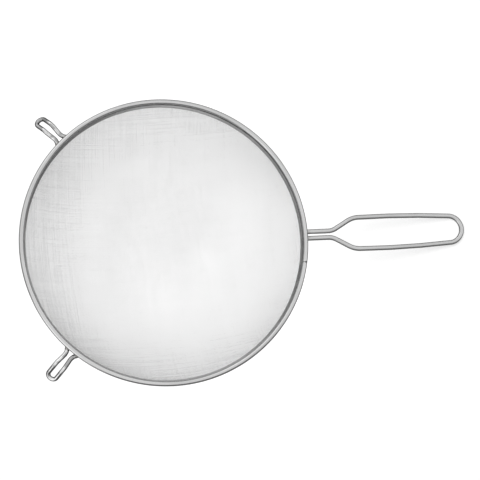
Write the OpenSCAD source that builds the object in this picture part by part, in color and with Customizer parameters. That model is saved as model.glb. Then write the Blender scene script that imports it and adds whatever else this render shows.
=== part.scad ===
// Hand sieve: a bowl of fine wire cloth in a rolled round rim, with a bent wire handle
// and two small wire hooks that rest it on a pot. All sizes are in millimetres.
//
// The pieces are drawn level first, about the middle of the rim's core wire, with the
// handle along +X. rest_on_table() then leans the whole sieve until the bowl and the
// handle's far end both touch the table, and puts the middle of its footprint at the origin.

/* [Rim] */
// Outer diameter of the rim
rim_d = 260; // [200:5:320]
// Diameter of the wire that the rim strip is rolled round
core_wire_d = 3.5; // [2.5:0.1:4.5]
// Thickness of the rim strip
strip_t = 0.5; // [0.3:0.05:0.7]
// Room between the core wire and the strip rolled round it
roll_play = 0.05; // [0:0.01:0.1]
// Depth of the strip's two clamping legs, from the core wire's middle to their lower edge
clamp_depth = 7.5; // [6.5:0.5:12]
// Lean of the cloth from upright at the core wire; less lean makes a deeper bowl
cloth_lean = 19.5; // [14:0.5:35]
// How far inside the core wire's middle the bowl's surface crosses the wire's level
clamp_inset = 0; // [0:0.1:1]
// Place of the butt seam in the strip, as an angle from the handle
seam_angle = -11.5; // [-60:0.5:-8]
// Opening left at the butt seam
seam_gap = 0.3; // [0.1:0.05:0.8]

/* [Wire cloth bowl] */
// Thickness of the sheet that stands for the wire cloth
cloth_t = 0.2; // [0.15:0.05:0.5]
// Openings across the coarse grid that stands for the weave
grid_n = 12; // [6:2:12]
// Width of the bands left between the grid's openings
grid_band = 6; // [3:0.5:10]
// Width of the plain border between the grid and the rim
grid_border = 3; // [1:0.5:10]
// Distance between the core wire and the cloth's cut edge
edge_margin = 0.6; // [0.3:0.1:1.5]

/* [Handle] */
// Diameter of the handle wire
handle_wire_d = 4.5; // [3.5:0.1:5.5]
// From the rim's outer edge to the handle's far end
handle_reach = 151; // [125:1:220]
// Widest outer width of the grip
grip_w = 34.3; // [31:0.1:42]
// Outer width of the grip's round end
grip_end_w = 29.7; // [24:0.1:30]
// Clear gap between the two wires of the neck
neck_gap = 1.6; // [0.6:0.1:3]
// Angle at which the neck opens into the grip
flare_angle = 30; // [24:1:42]
// Bend radius where the neck opens
flare_r = 15; // [8:1:20]
// Bend radius where the flare turns into the grip's side
shoulder_r = 22; // [12:1:28]
// Radius of the slight bow in the grip's sides
bow_r = 920; // [700:10:1600]
// From the shoulder to the grip's widest point
bow_lead = 22; // [10:1:30]

/* [Rest hooks] */
// Diameter of the hook wire
hook_wire_d = 4; // [3:0.1:4.5]
// Angle of each hook from the handle
hook_angle = 133; // [110:1:150]
// From the rim's outer edge to the hook's tip
hook_reach = 30; // [26:1:45]
// Bend radius of the hook's tip, to the wire's middle
hook_tip_r = 4.2; // [3:0.1:5]
// Length of each leg between the tip and the bend down
hook_tip_l = 7; // [3:0.5:12]
// Angle by which the tip is bent down over the pot's edge
hook_drop_angle = 38; // [10:1:60]
// Radius of the bend down
hook_drop_r = 6; // [4:0.5:10]
// Angle at which the legs splay apart again from waist to tip
hook_spread = 6; // [2:0.5:8]
// Radius of the bend that ends the splay
hook_spread_r = 20; // [10:1:30]
// Angle at which the legs' roots turn out along the rim
root_angle = 26; // [10:1:40]
// Bend radius of the roots
root_r = 10; // [6:0.5:14]
// Straight length of each root
root_l = 6.5; // [5.5:0.5:8]

/* [Welds] */
// How deep a wire is pressed into the rim at its weld
weld_sink = 0.3; // [0.1:0.05:0.5]
// Height of the weld bead round a wire
weld_h = 0.9; // [0.5:0.1:1.2]
// Length of the weld bead along a wire
weld_l = 3; // [2:0.1:4]
// Height of the weld bead at its far edge
weld_toe = 0.2; // [0.1:0.05:0.4]

/* [Hidden] */

STEEL = "silver";
CLOTH = "gainsboro";
WELD = "darkgray";

// Facets round a wire, and round the rim and the bowl
wire_fn = 48;
$fn = wire_fn;
round_fn = 180;

// How far a cut or a weld bead runs past the face that it meets
overrun = 1;

// Half the opening left between two lengths of wire, and half the length of the collar that
// joins them and how far it stands out of the wire, so that no two faces lie on each other
joint_gap = 0.1;
joint_half_l = 0.2;
joint_swell = 0.03;

bead_d = core_wire_d + 2 * (strip_t + roll_play);
bead_r = bead_d / 2;
rim_r = rim_d / 2;
wire_ring_r = rim_r - bead_r;

// The bowl and the clamping legs are parts of balls about one centre on the rim's axis
bowl_r = (wire_ring_r - clamp_inset) / cos(cloth_lean);
bowl_level = bowl_r * sin(cloth_lean);
bowl_outer_r = bowl_r + cloth_t / 2;
cloth_top = -(core_wire_d / 2 + roll_play + edge_margin);
flange_outer_r = bowl_outer_r + strip_t;

// The grid's level below the rim, and half its reach and half a band as angles at the ball's
// centre
grid_top = -clamp_depth - grid_border;
grid_reach_a = acos((bowl_level - grid_top) / bowl_r);
half_band_a = grid_band / 2 / bowl_r * 180 / PI;

// Radius of the flange's outer face at a level
function flange_r(level) =
    sqrt(flange_outer_r * flange_outer_r - (level - bowl_level) * (level - bowl_level));
// Where a wire welded to the flange starts, inside it
root_x = flange_r(-clamp_depth) - strip_t;

// Handle, drawn as one half and its mirror image
handle_level = -(bead_r + handle_wire_d / 2 - weld_sink);
handle_end_r = (grip_end_w - handle_wire_d) / 2;
handle_end_x = rim_r + handle_reach - handle_wire_d / 2;
neck_y = (neck_gap + handle_wire_d) / 2;
grip_y = (grip_w - handle_wire_d) / 2;
bow_end_a = acos((bow_r - grip_y) / (bow_r - handle_end_r));
bow_lead_a = asin(bow_lead / bow_r);
grip_peak_x = handle_end_x - handle_end_r - (bow_r - handle_end_r) * sin(bow_end_a);
shoulder_y = grip_y - bow_r * (1 - cos(bow_lead_a));
flare_rise = shoulder_y - neck_y - flare_r * (1 - cos(flare_angle))
    - shoulder_r * (cos(bow_lead_a) - cos(flare_angle));
flare_l = flare_rise / sin(flare_angle);
neck_end_x = grip_peak_x - bow_lead - flare_r * sin(flare_angle) - flare_l * cos(flare_angle)
    - shoulder_r * (sin(flare_angle) - sin(bow_lead_a));

// Hooks, drawn as one half and its mirror image
hook_level = -(bead_r + hook_wire_d / 2 - weld_sink);
hook_tip_x = rim_r + hook_reach - hook_wire_d / 2;
hook_drop_x = hook_tip_x - (hook_tip_r + hook_tip_l) * cos(hook_drop_angle)
    - hook_drop_r * sin(hook_drop_angle);
hook_drop_h = hook_drop_r * (1 - cos(hook_drop_angle))
    + (hook_tip_l + hook_tip_r) * sin(hook_drop_angle);
hook_leg_l = (hook_drop_x - root_x - root_l * cos(root_angle)
    - root_r * (sin(root_angle) + sin(hook_spread)) - hook_spread_r * sin(hook_spread))
    / cos(hook_spread);
hook_root_y = hook_tip_r + root_l * sin(root_angle)
    - root_r * (cos(root_angle) - cos(hook_spread))
    - hook_leg_l * sin(hook_spread) - hook_spread_r * (1 - cos(hook_spread));

// Lean at which the bowl and the end of the handle stand on one table
stand_rise = bowl_level - handle_level;
rest_lean = asin((bowl_outer_r - handle_wire_d / 2) / norm([stand_rise, handle_end_x]))
    - atan2(stand_rise, handle_end_x);
rest_lift = bowl_outer_r - bowl_level * cos(rest_lean);
far_x = handle_end_x * cos(rest_lean) + handle_level * sin(rest_lean) + handle_wire_d / 2;
near_x = -wire_ring_r * cos(rest_lean) - bead_r;
rest_shift = -(far_x + near_x) / 2;

module rest_on_table() {
    translate([rest_shift, 0, rest_lift]) rotate([0, rest_lean, 0]) children();
}

// Part of a hollow ball about the bowl's centre, between two levels
module ball_shell(outer_r, inner_r, bottom, top) {
    intersection() {
        translate([0, 0, bowl_level])
            difference() {
                sphere(r = outer_r, $fn = round_fn);
                sphere(r = inner_r, $fn = round_fn);
            }
        translate([0, 0, bottom]) cylinder(r = rim_r, h = top - bottom, $fn = round_fn);
    }
}

module wire_ring(d) {
    rotate_extrude($fn = round_fn) translate([wire_ring_r, 0]) circle(d = d);
}

// A straight length of round wire along +X
module wire_straight(d, l) {
    rotate([0, 90, 0]) cylinder(d = d, h = l);
}

// A bend in round wire that starts along +X and turns left, or right for a negative angle
module wire_bend(d, r, a) {
    gap_a = joint_gap / r * 180 / PI;
    mirror([0, a < 0 ? 1 : 0, 0])
        translate([0, r, 0])
            rotate([0, 0, gap_a - 90])
                rotate_extrude(angle = abs(a) - 2 * gap_a, $fn = round_fn)
                    translate([r, 0]) circle(d = d, $fn = wire_fn);
}

function bend_end(r, a) = [r * sin(abs(a)), sign(a) * r * (1 - cos(a)), 0];

// Collar round a wire along +X that joins two lengths of it
module wire_joint(d) {
    rotate([0, 90, 0]) cylinder(d = d + 2 * joint_swell, h = 2 * joint_half_l, center = true);
}

// A run of bent wire. Each step is a roll about the wire, a straight length, a bend radius
// and a bend angle. A joint follows every bend but the last
module wire_run(d, steps, i = 0) {
    if (i < len(steps)) {
        roll = steps[i][0];
        l = steps[i][1];
        r = steps[i][2];
        a = steps[i][3];
        start = i == 0 ? 0 : joint_gap;
        rotate([roll, 0, 0]) {
            if (l > 0) {
                translate([start, 0, 0]) wire_straight(d, l - joint_gap - start);
                translate([l, 0, 0]) wire_joint(d);
            }
            translate([l, 0, 0]) {
                wire_bend(d, r, a);
                translate(bend_end(r, a))
                    rotate([0, 0, a]) {
                        if (i < len(steps) - 1) wire_joint(d);
                        wire_run(d, steps, i + 1);
                    }
            }
        }
    }
}

module mirrored_pair() {
    children();
    mirror([0, 1, 0]) children();
}

// All that the rim's outer face encloses, which trims the ends of the wires welded to it
module rim_envelope() {
    intersection() {
        translate([0, 0, bowl_level]) sphere(r = flange_outer_r, $fn = round_fn);
        translate([0, 0, -clamp_depth]) cylinder(r = rim_r, h = clamp_depth, $fn = round_fn);
    }
    wire_ring(bead_d);
}

// Thin slice through the strip where its two ends meet
module seam_cut() {
    depth = clamp_depth + bead_r + 2 * overrun;
    rotate([0, 0, seam_angle])
        translate([wire_ring_r - clamp_depth, -seam_gap / 2, -clamp_depth - overrun])
            cube([clamp_depth + bead_r + overrun, seam_gap, depth]);
}

// Rim strip: rolled round the core wire, with its two legs clamping the cloth's edge
module rim_band() {
    color(STEEL)
        rest_on_table()
            difference() {
                union() {
                    wire_ring(bead_d);
                    ball_shell(flange_outer_r, bowl_r - cloth_t / 2 - strip_t, -clamp_depth, 0);
                }
                wire_ring(core_wire_d + 2 * roll_play);
                ball_shell(bowl_outer_r, bowl_r - cloth_t / 2, -clamp_depth - overrun, 0);
                seam_cut();
            }
}

// Ring of wire inside the rolled strip
module rim_core_wire() {
    color(STEEL) rest_on_table() wire_ring(core_wire_d);
}

// A row of wedges along X, as wide apart on the ball as the grid's openings. Their sides lie in
// planes that fan out from the ball's top, so they draw together up the wall as pressed cloth does
module grid_row() {
    near = bowl_r;
    far = 2 * bowl_r + overrun;
    step_a = 2 * grid_reach_a / grid_n;
    translate([0, 0, bowl_level + bowl_r])
        rotate([90, 0, 0])
            linear_extrude(height = rim_d, center = true)
                for (i = [0 : grid_n - 1]) {
                    low_a = (i * step_a - grid_reach_a + half_band_a) / 2;
                    high_a = ((i + 1) * step_a - grid_reach_a - half_band_a) / 2;
                    polygon([
                        near * [tan(low_a), -1], far * [tan(low_a), -1],
                        far * [tan(high_a), -1], near * [tan(high_a), -1]
                    ]);
                }
}

// Bowl of wire cloth, as one thin sheet: part of a ball that runs up between the clamping legs,
// with a coarse grid of openings in place of the weave
module wire_cloth_bowl() {
    color(CLOTH)
        rest_on_table()
            difference() {
                ball_shell(bowl_outer_r, bowl_r - cloth_t / 2, bowl_level - 2 * bowl_r, cloth_top);
                intersection() {
                    grid_row();
                    rotate([0, 0, 90]) grid_row();
                    translate([0, 0, grid_top - bowl_r]) cylinder(r = rim_r, h = bowl_r);
                }
            }
}

module handle_wires() {
    mirrored_pair()
        translate([root_x, neck_y, handle_level])
            wire_run(handle_wire_d, [
                [0, neck_end_x - root_x, flare_r, flare_angle],
                [0, flare_l, shoulder_r, bow_lead_a - flare_angle],
                [0, 0, bow_r, -bow_lead_a - bow_end_a],
                [0, 0, handle_end_r, bow_end_a - 90]
            ]);
    translate([handle_end_x, 0, handle_level]) rotate([0, 0, 90]) wire_joint(handle_wire_d);
}

// Handle: one wire bent into a neck and a long loop, its two ends welded under the rim
module handle_loop() {
    color(STEEL)
        rest_on_table()
            difference() {
                handle_wires();
                rim_envelope();
            }
}

// A hook about its own middle line along +X, still untrimmed
module hook_wires() {
    mirrored_pair()
        translate([root_x, hook_root_y, hook_level])
            rotate([0, 0, -root_angle])
                wire_run(hook_wire_d, [
                    [0, root_l, root_r, root_angle + hook_spread],
                    [0, hook_leg_l, hook_spread_r, -hook_spread],
                    [-90, 0, hook_drop_r, hook_drop_angle],
                    [90, hook_tip_l, hook_tip_r, -90]
                ]);
    translate([hook_tip_x, 0, hook_level - hook_drop_h]) rotate([0, 0, 90]) wire_joint(hook_wire_d);
}

// Rest hook: a wire loop with its tip bent down, its two ends welded under the rim
module rest_hook(side) {
    color(STEEL)
        rest_on_table()
            difference() {
                rotate([0, 0, side * hook_angle]) hook_wires();
                rim_envelope();
            }
}

module rest_hook_left() {
    rest_hook(1);
}

module rest_hook_right() {
    rest_hook(-1);
}

// Weld bead round a wire of diameter d that starts at root_x and y, and leaves the flange at the
// given level and angle to X
module weld_bead(d, y, level, angle) {
    face = (flange_r(level) - root_x) / cos(angle);
    translate([root_x, y, level])
        rotate([0, 90, angle])
            translate([0, 0, face - overrun])
                cylinder(d1 = d + 2 * weld_h, d2 = d + 2 * weld_toe, h = weld_l + overrun);
}

// Weld beads that join the handle's two ends to the rim
module handle_welds() {
    color(WELD)
        rest_on_table()
            difference() {
                mirrored_pair() weld_bead(handle_wire_d, neck_y, handle_level, 0);
                handle_wires();
                rim_envelope();
            }
}

// Weld beads that join each hook's two ends to the rim
module hook_welds() {
    color(WELD)
        rest_on_table()
            for (side = [-1, 1])
                difference() {
                    rotate([0, 0, side * hook_angle])
                        difference() {
                            mirrored_pair()
                                weld_bead(hook_wire_d, hook_root_y, hook_level, -root_angle);
                            hook_wires();
                        }
                    rim_envelope();
                }
}

rim_band();
rim_core_wire();
wire_cloth_bowl();
handle_loop();
rest_hook_left();
rest_hook_right();
handle_welds();
hook_welds();
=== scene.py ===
"""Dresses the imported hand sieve: rolled rim, woven wire cloth, bent handle, rest hooks and welds.

Sizes are in millimetres in the level frame: its origin is the middle of the rim's core wire, +X
points toward the handle and +Z out of the bowl's mouth. RestingPose turns them into metres in the
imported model's frame, where the sieve leans on its bowl and on the end of its handle.
"""

from __future__ import annotations

import logging
import math
from dataclasses import dataclass, field
from enum import Enum

import bpy
import numpy as np
from mathutils import Matrix, Vector

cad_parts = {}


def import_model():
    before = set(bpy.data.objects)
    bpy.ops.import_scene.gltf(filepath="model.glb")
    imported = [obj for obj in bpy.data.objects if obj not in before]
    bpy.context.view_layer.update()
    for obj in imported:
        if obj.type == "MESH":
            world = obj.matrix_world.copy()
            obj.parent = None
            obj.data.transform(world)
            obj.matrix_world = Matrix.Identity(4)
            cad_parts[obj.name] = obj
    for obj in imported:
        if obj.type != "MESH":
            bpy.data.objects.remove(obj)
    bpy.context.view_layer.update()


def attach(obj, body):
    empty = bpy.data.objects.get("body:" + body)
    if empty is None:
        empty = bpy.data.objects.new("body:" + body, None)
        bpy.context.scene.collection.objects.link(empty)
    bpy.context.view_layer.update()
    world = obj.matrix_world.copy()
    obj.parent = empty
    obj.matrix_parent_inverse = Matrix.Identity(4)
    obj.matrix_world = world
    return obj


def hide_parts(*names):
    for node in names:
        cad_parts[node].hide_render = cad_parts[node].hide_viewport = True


LOG = logging.getLogger("hand_sieve")
MM = 0.001
BODY = "root"
ALONG = "along"
TINY = 1e-12
AHEAD = np.array([1.0, 0.0, 0.0])
UP = np.array([0.0, 0.0, 1.0])
MIRROR_Y = np.array([1.0, -1.0, 1.0])
Color = tuple[float, float, float]
Place = tuple[float, float, float]
Pair = tuple[float, float]


class Side(Enum):
    """Which side of the handle a hook stands on, as the sign of its angle."""

    LEFT = 1
    RIGHT = -1


class Threads(Enum):
    """The two sets of wires in the cloth: which way they run through the net of crossings."""

    WARP = 0
    WEFT = 1


@dataclass(frozen=True)
class RimSizes:
    """Sizes of the rolled rim and of the ball that the cloth is part of, in millimetres."""

    outer_d: float = 260.0
    core_wire_d: float = 3.5
    strip_t: float = 0.5
    roll_play: float = 0.05
    clamp_depth: float = 7.5
    cloth_lean: float = 19.5
    seam_angle: float = -11.5
    seam_gap: float = 0.3
    sheet_t: float = 0.2
    edge_margin: float = 0.6

    @property
    def bead_r(self) -> float:
        """Radius of the rolled bead."""
        return self.core_wire_d / 2 + self.strip_t + self.roll_play

    @property
    def ring_r(self) -> float:
        """Radius of the core wire's middle line."""
        return self.outer_d / 2 - self.bead_r

    @property
    def bowl_r(self) -> float:
        """Radius of the ball through the middle of the cloth."""
        return self.ring_r / math.cos(math.radians(self.cloth_lean))

    @property
    def bowl_level(self) -> float:
        """Level of the ball's centre above the core wire."""
        return self.bowl_r * math.sin(math.radians(self.cloth_lean))

    @property
    def cloth_top(self) -> float:
        """Level of the cloth's cut edge inside the clamp."""
        return -(self.core_wire_d / 2 + self.roll_play + self.edge_margin)

    def flange_r(self, level: np.ndarray | float) -> np.ndarray | float:
        """Radius of the outer leg's outer face at a level.

        It is the ball's circle there: the root of its radius squared less the height squared.

        Args:
            level: Level above the core wire's middle.

        Returns:
            The distance from the rim's axis.
        """
        outer = self.bowl_r + self.sheet_t / 2 + self.strip_t
        return np.sqrt(outer**2 - (level - self.bowl_level) ** 2)


@dataclass(frozen=True)
class HandleSizes:
    """Sizes of the handle's bent wire, in millimetres and degrees."""

    wire_d: float = 4.5
    reach: float = 151.0
    grip_w: float = 34.3
    end_w: float = 29.7
    neck_gap: float = 1.6
    flare_angle: float = 30.0
    flare_r: float = 15.0
    shoulder_r: float = 22.0
    bow_r: float = 920.0
    bow_lead: float = 22.0


@dataclass(frozen=True)
class HookSizes:
    """Sizes of a rest hook's bent wire, in millimetres and degrees."""

    wire_d: float = 4.0
    angle: float = 133.0
    reach: float = 30.0
    tip_r: float = 4.2
    tip_l: float = 7.0
    drop_angle: float = 38.0
    drop_r: float = 6.0
    spread: float = 6.0
    spread_r: float = 20.0
    root_angle: float = 26.0
    root_r: float = 10.0
    root_l: float = 6.5


@dataclass(frozen=True)
class WeldSizes:
    """Sizes of the weld beads, in millimetres."""

    sink: float = 0.3
    height: float = 0.9
    length: float = 3.0
    toe: float = 0.2


@dataclass(frozen=True)
class Bend:
    """One step of a bent wire: a roll about the wire, a straight length, then an arc.

    Angles are in degrees; a positive arc turns left.
    """

    roll: float
    straight: float
    radius: float
    angle: float


@dataclass(frozen=True)
class RestingPose:
    """The lean at which the bowl and the handle's end stand on one table."""

    rim: RimSizes
    handle: HandleSizes
    welds: WeldSizes

    @property
    def handle_level(self) -> float:
        """Level of the handle wire's middle under the bead."""
        return -(self.rim.bead_r + self.handle.wire_d / 2 - self.welds.sink)

    @property
    def handle_end_x(self) -> float:
        """Distance of the wire's middle at the handle's far end from the rim's axis."""
        return self.rim.outer_d / 2 + self.handle.reach - self.handle.wire_d / 2

    @property
    def lean(self) -> float:
        """Lean of the rim in radians, at which both supports have the table as a common tangent.

        It is the angle whose sine is the difference of their radii over the length of the line
        from the ball's centre to the handle's end, less the angle by which that line falls.

        Returns:
            The lean, positive when the handle's end goes down.
        """
        rise = self.rim.bowl_level - self.handle_level
        ball = self.rim.bowl_r + self.rim.sheet_t / 2
        reach = math.hypot(rise, self.handle_end_x)
        drop = math.asin((ball - self.handle.wire_d / 2) / reach)
        return drop - math.atan2(rise, self.handle_end_x)

    @property
    def turn(self) -> np.ndarray:
        """Rotation about Y by the lean."""
        c, s = math.cos(self.lean), math.sin(self.lean)
        return np.array([[c, 0.0, s], [0.0, 1.0, 0.0], [-s, 0.0, c]])

    @property
    def offset(self) -> np.ndarray:
        """Place of the rim's centre in the resting frame.

        Returns:
            The place in millimetres, with the footprint's middle at X 0 and the table at Z 0.
        """
        c, s = math.cos(self.lean), math.sin(self.lean)
        far = self.handle_end_x * c + self.handle_level * s + self.handle.wire_d / 2
        near = -self.rim.ring_r * c - self.rim.bead_r
        lift = self.rim.bowl_r + self.rim.sheet_t / 2 - self.rim.bowl_level * c
        return np.array([-(far + near) / 2, 0.0, lift])

    def place(self, points: np.ndarray) -> np.ndarray:
        """Moves level points to the table.

        Args:
            points: Points of the level frame in millimetres, last axis X, Y, Z.

        Returns:
            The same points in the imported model's frame, in metres.
        """
        return (points @ self.turn.T + self.offset) * MM


def linked_object(name: str, data: bpy.types.ID) -> bpy.types.Object:
    """Adds an object to the scene, at the origin.

    Args:
        name: Its name.
        data: Its mesh, lamp or camera.

    Returns:
        The object.
    """
    made = bpy.data.objects.new(name, data)
    bpy.context.scene.collection.objects.link(made)
    return made


@dataclass
class Surface:
    """A mesh as arrays: points, the pattern coordinate of each point, and faces by size."""

    points: np.ndarray
    along: np.ndarray
    faces: list[np.ndarray]

    def build(self, name: str, pose: RestingPose) -> bpy.types.Object:
        """Writes the arrays into a smooth mesh object at the origin.

        Args:
            name: Name of the piece.
            pose: Places the level points on the table.

        Returns:
            The linked object, riding on the sieve's body.
        """
        placed = pose.place(self.points.reshape(-1, 3))
        loops = np.concatenate([f.ravel() for f in self.faces])
        sizes = np.concatenate([np.full(len(f), f.shape[1]) for f in self.faces])
        mesh = bpy.data.meshes.new(name)
        mesh.vertices.add(len(placed))
        mesh.vertices.foreach_set("co", placed.astype(np.float32).ravel())
        mesh.loops.add(len(loops))
        mesh.loops.foreach_set("vertex_index", loops.astype(np.int32))
        mesh.polygons.add(len(sizes))
        starts = np.concatenate([[0], np.cumsum(sizes)[:-1]])
        mesh.polygons.foreach_set("loop_start", starts.astype(np.int32))
        mesh.update(calc_edges=True)
        coordinate = mesh.attributes.new(ALONG, "FLOAT_VECTOR", "POINT")
        coordinate.data.foreach_set("vector", (self.along.reshape(-1, 3) * MM).astype(np.float32).ravel())
        mesh.shade_smooth()
        piece = linked_object(name, mesh)
        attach(piece, BODY)
        LOG.info("%s: %d points, %d faces", name, len(placed), len(sizes))
        return piece


def unit(vectors: np.ndarray) -> np.ndarray:
    """Vectors divided by their lengths."""
    return vectors / np.maximum(np.linalg.norm(vectors, axis=-1, keepdims=True), TINY)


def angle_of(vector: np.ndarray) -> float:
    """Angle of a vector in a plane, in radians from its first axis."""
    return math.atan2(vector[1], vector[0])


def grid_faces(rows: int, columns: int, wrap_rows: bool = False) -> np.ndarray:
    """Quads of a grid whose columns close on themselves.

    Args:
        rows: Number of rows of points.
        columns: Number of points in a row, which is a closed loop.
        wrap_rows: Whether the last row joins the first.

    Returns:
        Four corner indices a face, in the order that points outwards for a loop that turns
        counter-clockwise about the direction of the rows.
    """
    r = np.arange(rows if wrap_rows else rows - 1)[:, None]
    c = np.arange(columns)[None, :]
    after_r, after_c = (r + 1) % rows, (c + 1) % columns
    row, after_row = r * columns, after_r * columns
    quad = [row + c, row + after_c, after_row + after_c, after_row + c]
    return np.stack(np.broadcast_arrays(*quad), -1).reshape(-1, 4)


def turn_about(axis: np.ndarray, angle: float) -> np.ndarray:
    """Rotation matrix about a unit axis, by Rodrigues' formula.

    Args:
        axis: Unit vector.
        angle: Angle in radians.

    Returns:
        The 3 by 3 matrix.
    """
    x, y, z = axis
    cross = np.array([[0, -z, y], [z, 0, -x], [-y, x, 0]])
    return np.eye(3) + math.sin(angle) * cross + (1 - math.cos(angle)) * cross @ cross


def bent_wire(start: np.ndarray, heading: float, bends: list[Bend], arc_step: float) -> np.ndarray:
    """Middle line of a bent wire, as points.

    Each straight length runs along the wire's heading, and each arc is its radius times one less
    the cosine sideways and the sine ahead, in the plane that the rolls have turned to.

    Args:
        start: First point, in millimetres.
        heading: Direction of the first length in the XY plane, in degrees from X.
        bends: The steps of the run.
        arc_step: About the angle between two points of an arc, in degrees; an arc has at least
            three steps.

    Returns:
        Points along the wire, last axis X, Y, Z.
    """
    straight_step = 6.0
    frame = turn_about(UP, math.radians(heading))
    at = np.asarray(start, float)
    points = [at[None, :]]
    for bend in bends:
        frame = frame @ turn_about(AHEAD, math.radians(bend.roll))
        if bend.straight > 0:
            share = np.linspace(0, 1, 2 + int(bend.straight / straight_step))[1:, None]
            points.append(at + share * bend.straight * frame[:, 0])
            at = points[-1][-1]
        count = 1 + max(3, int(abs(bend.angle) / arc_step))
        a = np.radians(np.linspace(0, abs(bend.angle), count))[1:, None]
        side = math.copysign(1.0, bend.angle) * frame[:, 1]
        points.append(at + bend.radius * (np.sin(a) * frame[:, 0] + (1 - np.cos(a)) * side))
        at = points[-1][-1]
        frame = frame @ turn_about(UP, math.radians(bend.angle))
    return np.concatenate(points)


def with_mirror_image(left: np.ndarray) -> np.ndarray:
    """The whole wire of a left half that ends at Y 0: its mirror image, then the half backwards."""
    return np.concatenate([(left * MIRROR_Y)[:-1], left[::-1]])


def tube(path: np.ndarray, radius: float | np.ndarray, sides: int, closed: bool = False) -> Surface:
    """Round tube along a path that never runs straight up.

    Each ring is the path's point plus the radius times the cosine of the ring angle sideways and
    its sine upwards, square to the path. The pattern coordinate holds the length along the tube
    and the place in its section.

    Args:
        path: Middle line, in millimetres.
        radius: Radius of the tube, or one for each point.
        sides: Points in a ring.
        closed: Whether the path is a ring itself.

    Returns:
        The tube, with flat caps if it is open.
    """
    if closed:
        ahead = unit(np.roll(path, -1, 0) - np.roll(path, 1, 0))
    else:
        ahead = unit(np.gradient(path, axis=0))
    sideways = unit(np.cross(UP, ahead))
    upwards = np.cross(ahead, sideways)
    turn = np.linspace(0, 2 * math.pi, sides, endpoint=False)
    r = np.broadcast_to(np.asarray(radius, float).reshape(-1, 1), (len(path), sides))
    across, up = r * np.cos(turn), r * np.sin(turn)
    points = path[:, None] + across[..., None] * sideways[:, None] + up[..., None] * upwards[:, None]
    length = np.concatenate([[0], np.cumsum(np.linalg.norm(np.diff(path, axis=0), axis=1))])
    along = np.stack([np.broadcast_to(length[:, None], r.shape), across, up], -1)
    faces = [grid_faces(len(path), sides, wrap_rows=closed)]
    if not closed:
        ring = np.arange(sides)
        faces.append(np.stack([ring[::-1], ring + (len(path) - 1) * sides]))
    return Surface(points, along, faces)


@dataclass(frozen=True)
class Ripple:
    """Smooth unevenness round a ring: a sum of cosines with random phases and weights.

    The finest cosine has the given number of waves a turn, and the coarsest a third of it.
    """

    finest: float
    cosines: int
    seed: int
    gain: float = 1.6

    def at(self, position: np.ndarray) -> np.ndarray:
        """The unevenness at places round the ring.

        Each cosine counts by its weight; the sum is divided by all the weights and then raised
        by the gain, because the cosines seldom peak together.

        Args:
            position: Angle round the ring in radians.

        Returns:
            A value of about -1 to 1 at each position.
        """
        random = np.random.default_rng(self.seed)
        turns = np.rint(np.linspace(self.finest / 3, self.finest, self.cosines))
        phases = random.uniform(0, 2 * math.pi, self.cosines)
        weights = random.uniform(0.5, 1.0, self.cosines)
        waves = np.cos(turns[:, None] * np.ravel(position) + phases[:, None])
        total = np.tensordot(weights, waves, 1)
        return (total / weights.sum() * self.gain).reshape(np.shape(position))


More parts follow.
